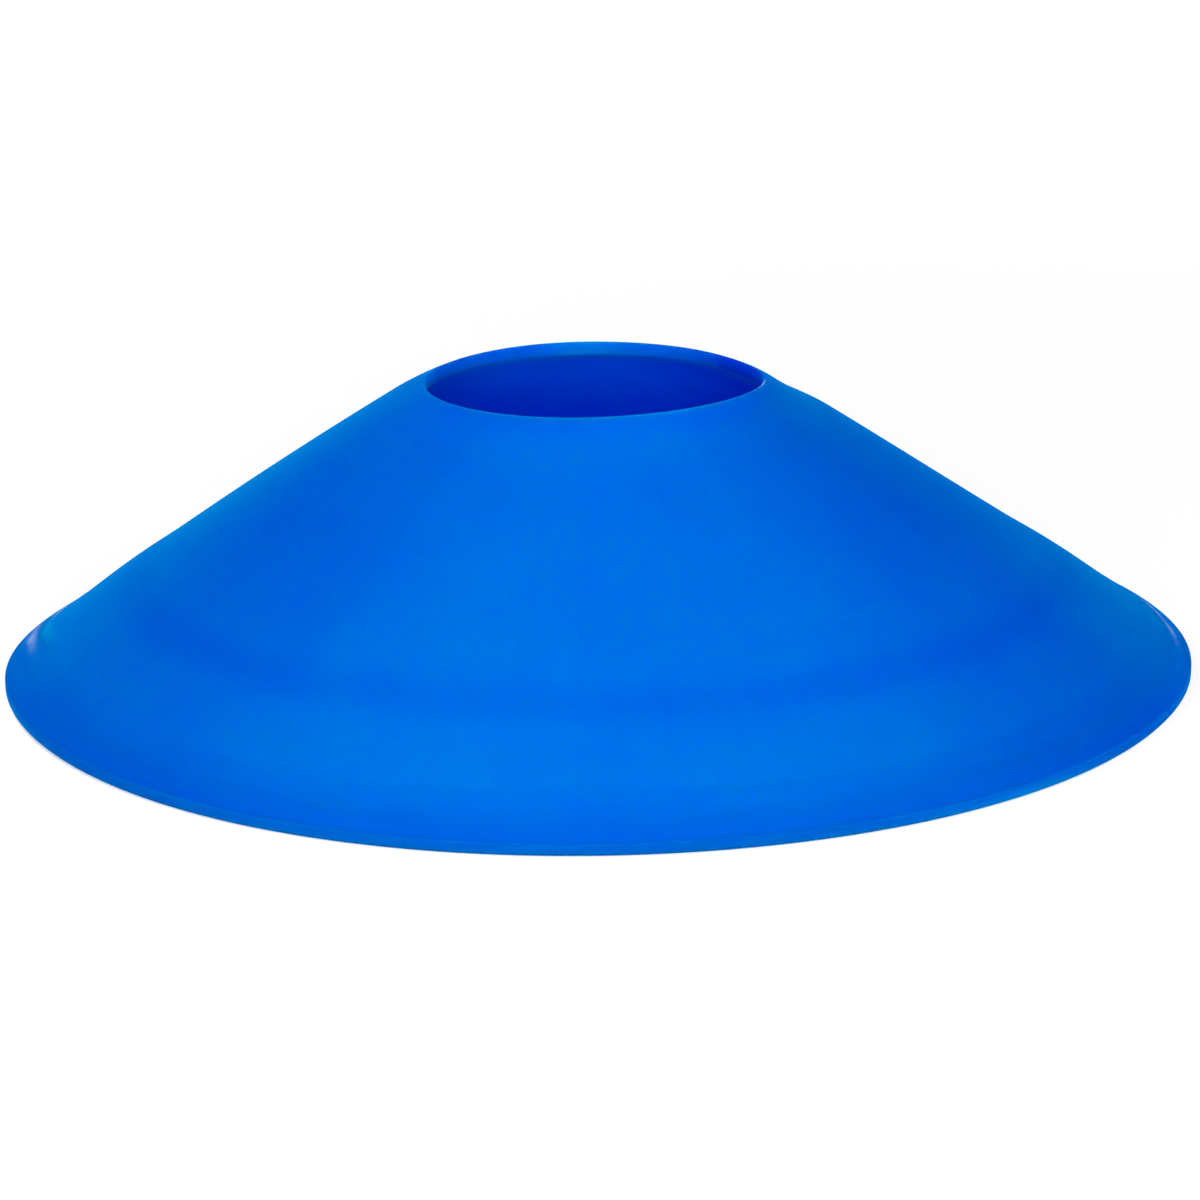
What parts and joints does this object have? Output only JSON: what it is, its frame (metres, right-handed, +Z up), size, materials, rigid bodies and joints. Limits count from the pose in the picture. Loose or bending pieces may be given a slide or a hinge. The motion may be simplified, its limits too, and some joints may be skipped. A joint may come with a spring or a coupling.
{
  "type": "sports marker cone",
  "caption": "Low disc marker cone of flexible plastic: a shallow hollow cone with an open top, for marking out a sports field.",
  "frame": {"origin": "centre of the rim's foot, on the surface that the disc stands on", "axes": "+Z up along the axis of the cone, through the hole"},
  "size_m": [0.2, 0.2, 0.0492],
  "materials": {
    "blue_plastic": "soft polyethylene moulding, satin, slightly translucent, with fine turned mould lines and light scuffs"
  },
  "bodies": {
    "root": {"marker_disc": "blue_plastic"}
  },
  "joints": []
}
